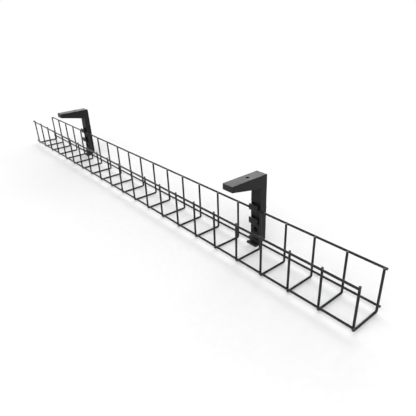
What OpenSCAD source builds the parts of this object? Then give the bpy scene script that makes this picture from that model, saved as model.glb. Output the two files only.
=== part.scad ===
// Wire cable tray that hangs under a desk from two L-shaped brackets.
//
// Origin: on the brackets' top faces, midway between their two desk screw holes.
// +X runs along the tray, +Y from the tray towards the brackets' uprights, +Z up.
// The basket swings forward about its back top rail, which turns in the hooks.

/* [Basket] */
// Diameter of every wire
wire_d = 3.9; // [3.5:0.1:4]
// Number of U-shaped ribs
rib_count = 22; // [16:2:30]
// Distance from one rib to the next
rib_pitch = 59.25; // [59:0.25:61]
// Distance between a rib's two leg centre lines
rib_w = 60.75; // [45:0.25:62]
// Height of a rib from the centre line of its bottom run to its cut ends
rib_h = 77; // [76.5:0.25:80]
// Bend radius of a rib's corners at the centre line of the wire
bend_r = 2.75; // [2.5:0.25:5]
// How far each rail runs past the centre line of the last rib
rail_stub = 2.875; // [2:0.125:6]
// Height of the two top rails above the bottom run
top_rail_h = 75.25; // [74:0.25:76]
// Height of the two bottom rails above the bottom run
low_rail_h = 8.25; // [8:0.25:8.5]
// Depth to which each weld presses a rail into a rib
weld_set = 0.2; // [0.1:0.05:0.4]

/* [Brackets] */
// Distance between the two brackets, centre to centre
bracket_spacing = 732; // [700:2:740]
// Width of a bracket
bracket_w = 24; // [22:0.5:26]
// Length of a bracket's arm, from its tip to the back of the upright
arm_l = 84; // [76:1:90]
// Thickness of the arm at its tip
tip_t = 11.25; // [9:0.25:13]
// Thickness of the arm where it meets the upright
root_t = 24.75; // [20:0.25:28]
// Thickness of the upright, front to back
upright_t = 15; // [14:0.5:18]
// Radius of the outer corner between arm and upright
corner_r = 2; // [1:0.5:4]
// Distance from the top face down to the centre line of the basket's bottom run
drop = 142.75; // [135:0.25:160]
// Distance from the desk screw hole to the back of the upright
hole_to_back = 36.75; // [30:0.25:40]

/* [Hooks] */
// Width of a hook
hook_w = 20; // [16:0.5:21]
// Thickness of a hook's lip
lip_t = 2.4; // [2:0.1:3]
// Width of the slot behind the lip
slot_w = 5.6; // [5.4:0.1:6]
// Height of the lip above the centre line of the rail that it holds
lip_h = 9.75; // [8:0.25:11]
// Distance between the upper hook and the spare hook below it
hook_step = 27.5; // [26:0.5:28]
// Depth of the window in the upright behind each lip
window_d = 6; // [3:0.5:7]

/* [Foot clip] */
// Height of the clip's mouth
mouth_h = 6.35; // [6:0.05:6.5]
// How far the upper jaw stands out from the upright
upper_jaw_l = 7; // [6:0.25:8]
// How far the lower jaw stands out from the upright
lower_jaw_l = 11; // [9:0.25:12]
// Thickness of the lower jaw
lower_jaw_t = 3; // [2.5:0.25:3.5]
// Height of the ridge at the lower jaw's edge
ridge_h = 1; // [0.5:0.25:1.25]
// Width of that ridge
ridge_w = 2.2; // [1.5:0.1:3]

/* [Screw holes] */
// Diameter of the desk screw hole
desk_hole_d = 7; // [4:0.5:7]
// Diameter of the desk screw's counterbore under the arm
desk_bore_d = 12; // [9:0.5:14]
// Thickness of plastic left above that counterbore
desk_seat_t = 8; // [6:0.5:10]
// Diameter of the wall screw hole through the upright
wall_hole_d = 6; // [4:0.5:7]
// Diameter of the wall screw's counterbore in the upright's front
wall_bore_d = 11; // [8:0.5:12]
// Depth of that counterbore
wall_bore_depth = 8; // [4:0.5:10]
// Height of the wall screw hole above the basket's bottom run
wall_hole_h = 30.5; // [29:0.25:32]

/* [Hidden] */
$fn = 64;
wire_r = wire_d / 2;
// Gap between the back top rail and the round floor of its slot
gap = 0.3;
// Gap between that rail and the lip in front of it
lip_gap = 0.6;
// Overshoot of a cutting tool past the faces it cuts
cut = 1;

// Upright and rails, front to back
upright_back_y = hole_to_back;
upright_front_y = upright_back_y - upright_t;
tip_y = upright_back_y - arm_l;
back_rail_y = upright_front_y - slot_w + wire_r + lip_gap;
rail_offset = wire_d - weld_set;
back_leg_y = back_rail_y - rail_offset;
front_leg_y = back_leg_y - rib_w;
front_rail_y = front_leg_y - rail_offset;

// Heights
run_z = -drop;
top_rail_z = run_z + top_rail_h;
low_rail_z = run_z + low_rail_h;

// Basket, end to end
ribs_l = (rib_count - 1) * rib_pitch;
rail_l = ribs_l + 2 * rail_stub;

// Foot clip: the mouth's round back end, its gap behind and above the rail, and the jaws' faces
mouth_r = mouth_h / 2;
mouth_gap = 0.65;
mouth_y = back_rail_y + wire_r + mouth_gap - mouth_r;
mouth_z = low_rail_z + wire_r + mouth_gap - mouth_r;
upper_jaw_y = upright_front_y - upper_jaw_l;
lower_jaw_y = upright_front_y - lower_jaw_l;
lower_jaw_z = mouth_z - mouth_r - lower_jaw_t;
upper_jaw_root_t = 4.75;
upper_jaw_tip_t = 3;
// Underside of the foot: it slopes up from just in front of the upright to its back face
slope_start = 1;
foot_slope_h = 8.65;

// Hook: centre of the slot's round floor, seen from the rail it holds
seat_r = slot_w / 2;
seat_y = upright_front_y - seat_r;
seat_dy = seat_y - back_rail_y;
seat_dz = sqrt(pow(seat_r - wire_r - gap, 2) - pow(seat_dy, 2));
window_over_lip = 1.5;
window_top = lip_h + window_over_lip;

RIB_NODES = [for (i = [1 : rib_count]) str("rib_", i < 10 ? "0" : "", i)];
RAIL_NODES = ["front_top_rail", "front_bottom_rail", "back_bottom_rail", "back_top_rail"];

// ---- basket ----

// One straight wire along X, as long as the basket
module rail(y, z) {
    color([0.10, 0.10, 0.11])
        translate([-rail_l / 2, y, z])
            rotate([0, 90, 0])
                cylinder(h = rail_l, r = wire_r);
}

module front_top_rail() rail(front_rail_y, top_rail_z);
module front_bottom_rail() rail(front_rail_y, low_rail_z);
module back_bottom_rail() rail(back_rail_y, low_rail_z);
module back_top_rail() rail(back_rail_y, top_rail_z);

module all_rails() {
    front_top_rail();
    front_bottom_rail();
    back_bottom_rail();
    back_top_rail();
}

// Upright leg of a rib, from its bend up to its cut end
module leg(y) {
    translate([0, y, run_z + bend_r])
        cylinder(h = rib_h - bend_r, r = wire_r);
}

// Quarter bend between the bottom run and a leg; side is -1 for the front leg, 1 for the back one
module bend(y, side) {
    translate([0, y - side * bend_r, run_z + bend_r])
        rotate([0, 90, 0])
            rotate([0, 0, side > 0 ? 0 : 270])
                rotate_extrude(angle = 90)
                    translate([bend_r, 0])
                        circle(r = wire_r);
}

// U-shaped rib with a shallow seat pressed into it by each rail
module rib(index) {
    color([0.10, 0.10, 0.11])
        difference() {
            translate([index * rib_pitch - ribs_l / 2, 0, 0]) {
                leg(front_leg_y);
                leg(back_leg_y);
                bend(front_leg_y, -1);
                bend(back_leg_y, 1);
                translate([0, front_leg_y + bend_r, run_z])
                    rotate([-90, 0, 0])
                        cylinder(h = rib_w - 2 * bend_r, r = wire_r);
            }
            all_rails();
        }
}

// ---- brackets ----

// Turns a profile drawn in (Y, Z) into a solid of width w centred on X = 0
module across(w) {
    rotate([90, 0, 90])
        linear_extrude(height = w, center = true)
            children();
}

// Side view of the arm and upright, down to the sloping underside of the foot
module bracket_outline() {
    polygon([
        [tip_y, 0],
        [upright_back_y - corner_r, 0],
        [upright_back_y, -corner_r],
        [upright_back_y, lower_jaw_z + foot_slope_h],
        [upright_front_y - slope_start, lower_jaw_z],
        [lower_jaw_y, lower_jaw_z],
        [lower_jaw_y, mouth_z - mouth_r + ridge_h],
        [lower_jaw_y + ridge_w, mouth_z - mouth_r + ridge_h],
        [lower_jaw_y + ridge_w + ridge_h, mouth_z - mouth_r],
        [upper_jaw_y, mouth_z - mouth_r],
        [upper_jaw_y, mouth_z + mouth_r + upper_jaw_tip_t],
        [upright_front_y, mouth_z + mouth_r + upper_jaw_root_t],
        [upright_front_y, -root_t],
        [tip_y, -tip_t]
    ]);
    translate([upright_back_y - corner_r, -corner_r])
        circle(r = corner_r);
}

// Open-fronted mouth that takes the back bottom rail
module mouth() {
    across(bracket_w + 2 * cut) {
        translate([mouth_y, mouth_z])
            circle(r = mouth_r);
        translate([upper_jaw_y - cut, mouth_z - mouth_r])
            square([mouth_y - upper_jaw_y + cut, mouth_h]);
    }
}

// Lip and rounded floor of one hook; z is the height of the rail that it would hold
module hook(z) {
    seat_z = z + seat_dz;
    across(hook_w)
        difference() {
            union() {
                translate([seat_y, seat_z])
                    circle(r = seat_r + lip_t);
                translate([seat_y - seat_r - lip_t, seat_z])
                    square([lip_t, z + lip_h - seat_z]);
            }
            translate([seat_y, seat_z])
                circle(r = seat_r);
            translate([seat_y - seat_r, seat_z])
                square([2 * (seat_r + lip_t), seat_r + lip_t + cut]);
        }
}

// Window in the upright's front face behind one lip
module window(z) {
    translate([-hook_w / 2, upright_front_y - cut, z + seat_dz])
        cube([hook_w, window_d + cut, window_top - seat_dz]);
}

// Vertical screw hole through the arm, counterbored from below
module desk_hole() {
    translate([0, 0, -root_t - cut])
        cylinder(h = root_t + 2 * cut, d = desk_hole_d);
    translate([0, 0, -root_t - cut])
        cylinder(h = root_t + cut - desk_seat_t, d = desk_bore_d);
}

// Horizontal screw hole through the upright, counterbored from the front
module wall_hole() {
    translate([0, upright_front_y - cut, run_z + wall_hole_h])
        rotate([-90, 0, 0]) {
            cylinder(h = upright_t + 2 * cut, d = wall_hole_d);
            cylinder(h = wall_bore_depth + cut, d = wall_bore_d);
        }
}

module bracket(x) {
    color([0.16, 0.16, 0.17])
        translate([x, 0, 0])
            difference() {
                union() {
                    difference() {
                        across(bracket_w)
                            bracket_outline();
                        mouth();
                        window(top_rail_z);
                        window(top_rail_z - hook_step);
                    }
                    hook(top_rail_z);
                    hook(top_rail_z - hook_step);
                }
                desk_hole();
                wall_hole();
            }
}

module left_bracket() bracket(-bracket_spacing / 2);
module right_bracket() bracket(bracket_spacing / 2);

for (i = [0 : rib_count - 1])
    rib(i);
front_top_rail();
front_bottom_rail();
back_bottom_rail();
back_top_rail();
left_bracket();
right_bracket();
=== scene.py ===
"""Looks of a wire cable tray on two under-desk brackets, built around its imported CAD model."""
import math
import random

import bmesh
import bpy
from mathutils import Matrix, Vector


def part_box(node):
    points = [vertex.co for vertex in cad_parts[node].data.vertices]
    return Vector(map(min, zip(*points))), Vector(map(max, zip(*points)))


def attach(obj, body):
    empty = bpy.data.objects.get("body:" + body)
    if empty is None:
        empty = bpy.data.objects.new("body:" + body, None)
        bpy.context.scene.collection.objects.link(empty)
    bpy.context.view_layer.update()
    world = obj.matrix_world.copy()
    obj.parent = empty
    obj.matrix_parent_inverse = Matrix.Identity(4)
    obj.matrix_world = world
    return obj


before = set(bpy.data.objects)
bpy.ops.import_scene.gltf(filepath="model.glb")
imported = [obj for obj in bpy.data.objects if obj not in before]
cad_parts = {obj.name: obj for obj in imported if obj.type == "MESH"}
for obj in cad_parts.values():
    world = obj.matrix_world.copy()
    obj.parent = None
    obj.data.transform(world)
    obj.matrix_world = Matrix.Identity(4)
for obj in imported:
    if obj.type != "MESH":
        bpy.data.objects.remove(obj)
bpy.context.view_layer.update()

MM = 0.001  # metres
BODY = "basket"
RAILS = ("front_top_rail", "front_bottom_rail", "back_bottom_rail", "back_top_rail")
BRACKETS = ("left_bracket", "right_bracket")
RIBS = sorted(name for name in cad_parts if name.startswith("rib_"))
# The floor lies at the lowest point of the ribs
FLOOR_Z = min(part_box(name)[0].z for name in RIBS)

# Camera, as fitted to the photograph: place, degrees it turns, looks down and rolls, lens and shift
CAMERA_PLACE = (0.83442, -0.46481, 0.27292)
CAMERA_AZIMUTH = 51.54
CAMERA_DOWN = 27.27
CAMERA_ROLL = -2.456
CAMERA_LENS = 35.32
CAMERA_SENSOR = 36.0
CAMERA_SHIFT = (0.00195, 0.01128)
CAMERA_CLIP = (0.01, 100.0)

# Floor and light
FLOOR_RADIUS = 6.0
FLOOR_SIDES = 96
# The floor turns into the white horizon between these distances from its centre
FLOOR_FADE = (1.1, 2.4)
HORIZON_RADIANCE = 1.0
ZENITH_RADIANCE = 0.0
# The world fades from the horizon's radiance to the zenith's between these sines of its elevation
FADE_START = 0.44
FADE_END = 0.66
# Each panel: name, degrees from +Y towards -X, distance out and height above the floor, size, radiance
PANELS = (
    ("back_panel", 38.0, 6.0, 2.7, (8.0, 2.4), 7.0),
    ("front_panel", CAMERA_AZIMUTH + 180.0, 4.0, 4.0, (4.0, 3.0), 5.2),
    ("side_panel", 180.0, 4.0, 3.0, (4.0, 3.0), 2.0),
)

# Softened edges: width, segments, and the degrees from which an edge counts as sharp
BRACKET_EDGE = 0.45 * MM
BRACKET_SEGMENTS = 3
BRACKET_SHARP = 30.0
WIRE_EDGE = 0.35 * MM
WIRE_SEGMENTS = 2
WIRE_SHARP = 70.0
# Points closer than this are one point, and faces that lean by fewer degrees than this are one face
MERGE = 0.002 * MM
FLAT_LEAN = 0.5

# Weld fillets: how open the gap between two wires is where a fillet ends, and at its neck
WELD_GAP = 0.55 * MM
NECK_GAP = 0.10 * MM
# How deep a fillet's ends reach into the wires
WELD_SINK = 0.06 * MM
WELD_SIDES = 24
WELD_STEPS = 5
# The share by which one fillet's gaps may be larger or smaller than another's
WELD_SPREAD = 0.16
# A fillet's reach is looked for up to this share of the wire's radius, in this many halvings
REACH_SHARE = 0.98
REACH_HALVINGS = 30

# Colours, each pair from darkest to lightest, and how strongly each surface reflects
COAT_COLOURS = ((0.007, 0.007, 0.0075), (0.011, 0.011, 0.0115))
PLASTIC_COLOURS = ((0.009, 0.009, 0.0095), (0.0125, 0.0125, 0.013))
GRAIN_COLOUR = (0.021, 0.021, 0.022)
# Lighter colour on the bracket's edges: partly wear, partly painted highlight
EDGE_WEAR_AND_HIGHLIGHT_COLOUR = (0.032, 0.032, 0.033)
FLOOR_COLOURS = ((0.86, 0.86, 0.86), (0.88, 0.88, 0.88))
COAT_SPECULAR = 0.25
PLASTIC_SPECULAR = 0.14
FLOOR_SPECULAR = 0.1
REFRACTION = 1.5
# Roughness of each surface, from its smoothest patches to its roughest
COAT_ROUGHNESS = (0.34, 0.46)
PLASTIC_ROUGHNESS = (0.44, 0.52)
FLOOR_ROUGHNESS = (0.75, 0.85)
# Share of the grain's colour and of the lighter edge colour (partly wear, partly painted highlight)
# that shows where they are strongest
GRAIN_SHARE = 0.35
EDGE_WEAR_AND_HIGHLIGHT_SHARE = 0.3
# The lighter edge colour, partly wear and partly painted highlight, reaches this far from an edge, and
# grows between these cosines of the normal's lean
EDGE_WEAR_AND_HIGHLIGHT_REACH = 0.5 * MM
EDGE_WEAR_AND_HIGHLIGHT_LEAN = (0.95, 0.75)


# ---- node helpers ----

def new_material(name):
    material = bpy.data.materials.new(name)
    material.use_nodes = True
    tree = material.node_tree
    return material, tree, tree.nodes["Principled BSDF"]


def add_node(tree, kind, **values):
    """A new node; each value goes to the property of that name, or to the input of that name."""
    made = tree.nodes.new(kind)
    for key, value in values.items():
        if hasattr(made, key):
            setattr(made, key, value)
        else:
            made.inputs[key.replace("_", " ")].default_value = value
    return made


def noise(tree, coordinates, scale, detail, roughness):
    made = add_node(tree, "ShaderNodeTexNoise", Scale=scale, Detail=detail, Roughness=roughness)
    tree.links.new(coordinates, made.inputs["Vector"])
    return made.outputs["Fac"]


def spread(tree, value, low, high, start=0.3, end=0.7):
    """Maps value from start..end to low..high."""
    made = add_node(tree, "ShaderNodeMapRange", clamp=True)
    for index, number in zip((1, 2, 3, 4), (start, end, low, high)):
        made.inputs[index].default_value = number
    tree.links.new(value, made.inputs[0])
    return made.outputs[0]


def blend_colours(tree, factor, first, second):
    """first where factor is 0, second where it is 1; each is a colour or a socket."""
    made = tree.nodes.new("ShaderNodeMix")
    made.data_type = "RGBA"
    tree.links.new(factor, made.inputs[0])
    for socket, colour in ((made.inputs[6], first), (made.inputs[7], second)):
        if isinstance(colour, tuple):
            socket.default_value = (*colour, 1.0)
        else:
            tree.links.new(colour, socket)
    return made.outputs[2]


def bump(tree, height, distance, strength, below=None):
    """A normal that follows height, on top of the normal below if there is one."""
    made = add_node(tree, "ShaderNodeBump", Strength=strength, Distance=distance)
    tree.links.new(height, made.inputs["Height"])
    if below is not None:
        tree.links.new(below, made.inputs["Normal"])
    return made.outputs["Normal"]


def edge_mask(tree, radius, flat, sharp):
    """0 on flat faces to 1 on edges, from how far a normal rounded over radius leans off the face."""
    geometry = tree.nodes.new("ShaderNodeNewGeometry")
    rounded = add_node(tree, "ShaderNodeBevel", Radius=radius)
    lean = add_node(tree, "ShaderNodeVectorMath", operation="DOT_PRODUCT")
    tree.links.new(geometry.outputs["Normal"], lean.inputs[0])
    tree.links.new(rounded.outputs["Normal"], lean.inputs[1])
    return spread(tree, lean.outputs["Value"], 0.0, 1.0, flat, sharp)


# ---- materials ----

def powder_coat(name):
    """Black powder coat on steel wire: fine orange peel, slight gloss, a little unevenness."""
    material, tree, shader = new_material(name)
    place = tree.nodes.new("ShaderNodeTexCoord").outputs["Object"]
    clouds = noise(tree, place, scale=55.0, detail=3.0, roughness=0.6)
    peel = noise(tree, place, scale=1300.0, detail=2.0, roughness=0.45)
    specks = noise(tree, place, scale=5200.0, detail=1.0, roughness=0.5)
    colour = blend_colours(tree, spread(tree, clouds, 0.0, 1.0), *COAT_COLOURS)
    tree.links.new(colour, shader.inputs["Base Color"])
    tree.links.new(spread(tree, clouds, *COAT_ROUGHNESS), shader.inputs["Roughness"])
    shader.inputs["IOR"].default_value = REFRACTION
    shader.inputs["Specular IOR Level"].default_value = COAT_SPECULAR
    fine = bump(tree, specks, distance=0.006 * MM, strength=0.35)
    relief = bump(tree, peel, distance=0.05 * MM, strength=0.5, below=fine)
    tree.links.new(relief, shader.inputs["Normal"])
    return material


def moulded_plastic(name):
    """Matte black moulded plastic with a fine spark-eroded grain, a little lighter on its edges, partly
    from wear and partly as a painted highlight.
    """
    material, tree, shader = new_material(name)
    place = tree.nodes.new("ShaderNodeTexCoord").outputs["Object"]
    clouds = noise(tree, place, scale=28.0, detail=4.0, roughness=0.62)
    grain = noise(tree, place, scale=2300.0, detail=3.0, roughness=0.6)
    pits = noise(tree, place, scale=900.0, detail=2.0, roughness=0.5)
    tone = blend_colours(tree, spread(tree, clouds, 0.0, 1.0), *PLASTIC_COLOURS)
    grained = blend_colours(tree, spread(tree, grain, 0.0, GRAIN_SHARE), tone, GRAIN_COLOUR)
    # Lighter colour on the edges, partly wear and partly painted highlight
    edge_wear_and_highlight = spread(tree, edge_mask(tree, EDGE_WEAR_AND_HIGHLIGHT_REACH, *EDGE_WEAR_AND_HIGHLIGHT_LEAN), 0.0, EDGE_WEAR_AND_HIGHLIGHT_SHARE, 0.0, 1.0)
    colour = blend_colours(tree, edge_wear_and_highlight, grained, EDGE_WEAR_AND_HIGHLIGHT_COLOUR)
    tree.links.new(colour, shader.inputs["Base Color"])
    tree.links.new(spread(tree, clouds, *PLASTIC_ROUGHNESS), shader.inputs["Roughness"])
    shader.inputs["IOR"].default_value = REFRACTION
    shader.inputs["Specular IOR Level"].default_value = PLASTIC_SPECULAR
    coarse = bump(tree, pits, distance=0.06 * MM, strength=0.4)
    relief = bump(tree, grain, distance=0.05 * MM, strength=0.6, below=coarse)
    tree.links.new(relief, shader.inputs["Normal"])
    return material


def studio_floor(name):
    """Plain pale floor with a faint paper-like tone, which turns into the white horizon far out."""
    material, tree, shader = new_material(name)
    place = tree.nodes.new("ShaderNodeTexCoord").outputs["Object"]
    fibres = noise(tree, place, scale=90.0, detail=3.0, roughness=0.5)
    colour = blend_colours(tree, spread(tree, fibres, 0.0, 1.0), *FLOOR_COLOURS)
    tree.links.new(colour, shader.inputs["Base Color"])
    tree.links.new(spread(tree, fibres, *FLOOR_ROUGHNESS), shader.inputs["Roughness"])
    shader.inputs["Specular IOR Level"].default_value = FLOOR_SPECULAR
    away = add_node(tree, "ShaderNodeVectorMath", operation="LENGTH")
    tree.links.new(place, away.inputs[0])
    white = add_node(tree, "ShaderNodeEmission", Strength=HORIZON_RADIANCE)
    both = tree.nodes.new("ShaderNodeMixShader")
    tree.links.new(spread(tree, away.outputs["Value"], 0.0, 1.0, *FLOOR_FADE), both.inputs[0])
    tree.links.new(shader.outputs[0], both.inputs[1])
    tree.links.new(white.outputs[0], both.inputs[2])
    tree.links.new(both.outputs[0], tree.nodes["Material Output"].inputs["Surface"])
    return material


# ---- CAD nodes ----

def close_mesh(thing):
    """Joins the borders along which the CAD mesh is split."""
    weld = thing.modifiers.new("close", "WELD")
    weld.merge_threshold = MERGE


def bevel(thing, name, width, segments, sharp):
    edge = thing.modifiers.new(name, "BEVEL")
    edge.width = width
    edge.segments = segments
    edge.limit_method = "ANGLE"
    edge.angle_limit = math.radians(sharp)


def soften(thing):
    """Rounds a bracket's sharp edges, as a mould does, and leaves its flat faces flat."""
    close_mesh(thing)
    flat = thing.modifiers.new("flat_faces", "DECIMATE")
    flat.decimate_type = "DISSOLVE"
    flat.angle_limit = math.radians(FLAT_LEAN)
    bevel(thing, "soft_edges", BRACKET_EDGE, BRACKET_SEGMENTS, BRACKET_SHARP)
    thing.modifiers.new("shading", "WEIGHTED_NORMAL")


def round_ends(thing):
    """Rounds a wire's cut ends a little, as the powder coat does."""
    close_mesh(thing)
    bevel(thing, "soft_ends", WIRE_EDGE, WIRE_SEGMENTS, WIRE_SHARP)


def finish_nodes(wire, plastic):
    """Gives each CAD node its material in every slot, and softens its edges."""
    for name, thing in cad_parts.items():
        is_bracket = name in BRACKETS
        for index in range(len(thing.data.materials)):
            thing.data.materials[index] = plastic if is_bracket else wire
        if is_bracket:
            soften(thing)
        else:
            round_ends(thing)


# ---- weld fillets ----

def crossing_gap(radius, reach, angle, overlap):
    """Gap between a rail and a leg, reach away from their contact, at angle to the rail's axis."""
    across = math.sqrt(radius ** 2 - (reach * math.sin(angle)) ** 2)
    along = math.sqrt(radius ** 2 - (reach * math.cos(angle)) ** 2)
    return 2 * radius - across - along - overlap


def reach_of_gap(radius, angle, overlap, gap):
    """Distance from the contact at which the gap between the crossed wires has grown to gap."""
    low, high = 0.0, radius * REACH_SHARE
    for _ in range(REACH_HALVINGS):
        middle = (low + high) / 2
        if crossing_gap(radius, middle, angle, overlap) < gap:
            low = middle
        else:
            high = middle
    return low


def fillet_ring(radius, angle, overlap, size):
    """A fillet's skin along one direction: (distance from the contact, height from the rail's axis)."""
    outer = reach_of_gap(radius, angle, overlap, WELD_GAP * size)
    neck = reach_of_gap(radius, angle, overlap, NECK_GAP * size)
    span = 2 * radius - overlap
    start = math.sqrt(radius ** 2 - (outer * math.sin(angle)) ** 2) - WELD_SINK
    end = span - math.sqrt(radius ** 2 - (outer * math.cos(angle)) ** 2) + WELD_SINK
    points = []
    for step in range(WELD_STEPS):
        share = step / (WELD_STEPS - 1)
        pull = 4 * share * (1 - share)
        points.append((outer + (neck - outer) * pull, start + (end - start) * share))
    return points


def add_fillet(mesh, centre, side, radius, overlap, size):
    """One closed spool of weld metal; side is 1 where the leg is behind the rail, -1 where in front."""
    rings = []
    for turn in range(WELD_SIDES):
        angle = 2 * math.pi * turn / WELD_SIDES
        ring = []
        for reach, height in fillet_ring(radius, angle, overlap, size):
            offset = Vector((reach * math.cos(angle), side * height, reach * math.sin(angle)))
            ring.append(mesh.verts.new(centre + offset))
        rings.append(ring)
    for turn in range(WELD_SIDES):
        here, there = rings[turn], rings[(turn + 1) % WELD_SIDES]
        for step in range(WELD_STEPS - 1):
            mesh.faces.new((here[step], there[step], there[step + 1], here[step + 1]))
    mesh.faces.new([ring[0] for ring in reversed(rings)])
    mesh.faces.new([ring[-1] for ring in rings])


def rail_fillets(rail, wire):
    """All the weld fillets of one rail, as one piece."""
    low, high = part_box(rail)
    radius = (high.z - low.z) / 2
    axis = (low + high) / 2
    front = rail.startswith("front")
    draw = random.Random(rail)
    mesh = bmesh.new()
    for rib in RIBS:
        rib_low, rib_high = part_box(rib)
        leg_y = rib_low.y + radius if front else rib_high.y - radius
        side = 1.0 if leg_y > axis.y else -1.0
        overlap = 2 * radius - abs(leg_y - axis.y)
        centre = Vector(((rib_low.x + rib_high.x) / 2, axis.y, axis.z))
        size = 1.0 + WELD_SPREAD * (2 * draw.random() - 1)
        add_fillet(mesh, centre, side, radius, overlap, size)
    bmesh.ops.recalc_face_normals(mesh, faces=mesh.faces)
    for face in mesh.faces:
        face.smooth = len(face.verts) == 4
    data = bpy.data.meshes.new(f"{rail}_welds")
    mesh.to_mesh(data)
    mesh.free()
    data.materials.append(wire)
    piece = bpy.data.objects.new(f"{rail}_welds", data)
    bpy.context.scene.collection.objects.link(piece)
    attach(piece, BODY)


# ---- stage ----

def make_floor():
    mesh = bmesh.new()
    bmesh.ops.create_circle(mesh, cap_ends=True, segments=FLOOR_SIDES, radius=FLOOR_RADIUS)
    data = bpy.data.meshes.new("floor")
    mesh.to_mesh(data)
    mesh.free()
    data.materials.append(studio_floor("floor"))
    floor = bpy.data.objects.new("floor", data)
    floor.location.z = FLOOR_Z
    bpy.context.scene.collection.objects.link(floor)


def make_camera():
    data = bpy.data.cameras.new("camera")
    data.sensor_width = CAMERA_SENSOR
    data.lens = CAMERA_LENS
    data.shift_x, data.shift_y = CAMERA_SHIFT
    data.clip_start, data.clip_end = CAMERA_CLIP
    camera = bpy.data.objects.new("camera", data)
    bpy.context.scene.collection.objects.link(camera)
    camera.matrix_world = (
        Matrix.Translation(CAMERA_PLACE)
        @ Matrix.Rotation(math.radians(CAMERA_AZIMUTH), 4, "Z")
        @ Matrix.Rotation(math.radians(90.0 - CAMERA_DOWN), 4, "X")
        @ Matrix.Rotation(math.radians(CAMERA_ROLL), 4, "Z")
    )
    bpy.context.scene.camera = camera


def area_light(name, place, target, size, radiance):
    """A rectangle that faces target; its power is what gives it that radiance."""
    data = bpy.data.lights.new(name, "AREA")
    data.shape = "RECTANGLE"
    data.size, data.size_y = size
    data.energy = radiance * math.pi * size[0] * size[1]
    light = bpy.data.objects.new(name, data)
    bpy.context.scene.collection.objects.link(light)
    light.location = place
    way = Vector(target) - Vector(place)
    light.rotation_euler = way.to_track_quat("-Z", "Y").to_euler()


def make_world():
    """White round the horizon, which shows beyond the floor, and dark overhead."""
    world = bpy.data.worlds.new("studio")
    world.use_nodes = True
    tree = world.node_tree
    way = tree.nodes.new("ShaderNodeTexCoord").outputs["Generated"]
    parts = tree.nodes.new("ShaderNodeSeparateXYZ")
    tree.links.new(way, parts.inputs[0])
    height = spread(tree, parts.outputs["Z"], 0.0, 1.0, FADE_START, FADE_END)
    colour = blend_colours(tree, height, (HORIZON_RADIANCE,) * 3, (ZENITH_RADIANCE,) * 3)
    tree.links.new(colour, tree.nodes["Background"].inputs["Color"])
    bpy.context.scene.world = world


def make_lights():
    for name, turn, distance, height, size, radiance in PANELS:
        angle = math.radians(turn)
        place = (-math.sin(angle) * distance, math.cos(angle) * distance, FLOOR_Z + height)
        area_light(name, place, (0.0, 0.0, FLOOR_Z), size, radiance)


make_camera()
make_floor()
make_world()
make_lights()
bpy.context.scene.view_settings.view_transform = "Standard"
wire_coat = powder_coat("black_powder_coat")
finish_nodes(wire_coat, moulded_plastic("black_moulded_plastic"))
for rail_name in RAILS:
    rail_fillets(rail_name, wire_coat)
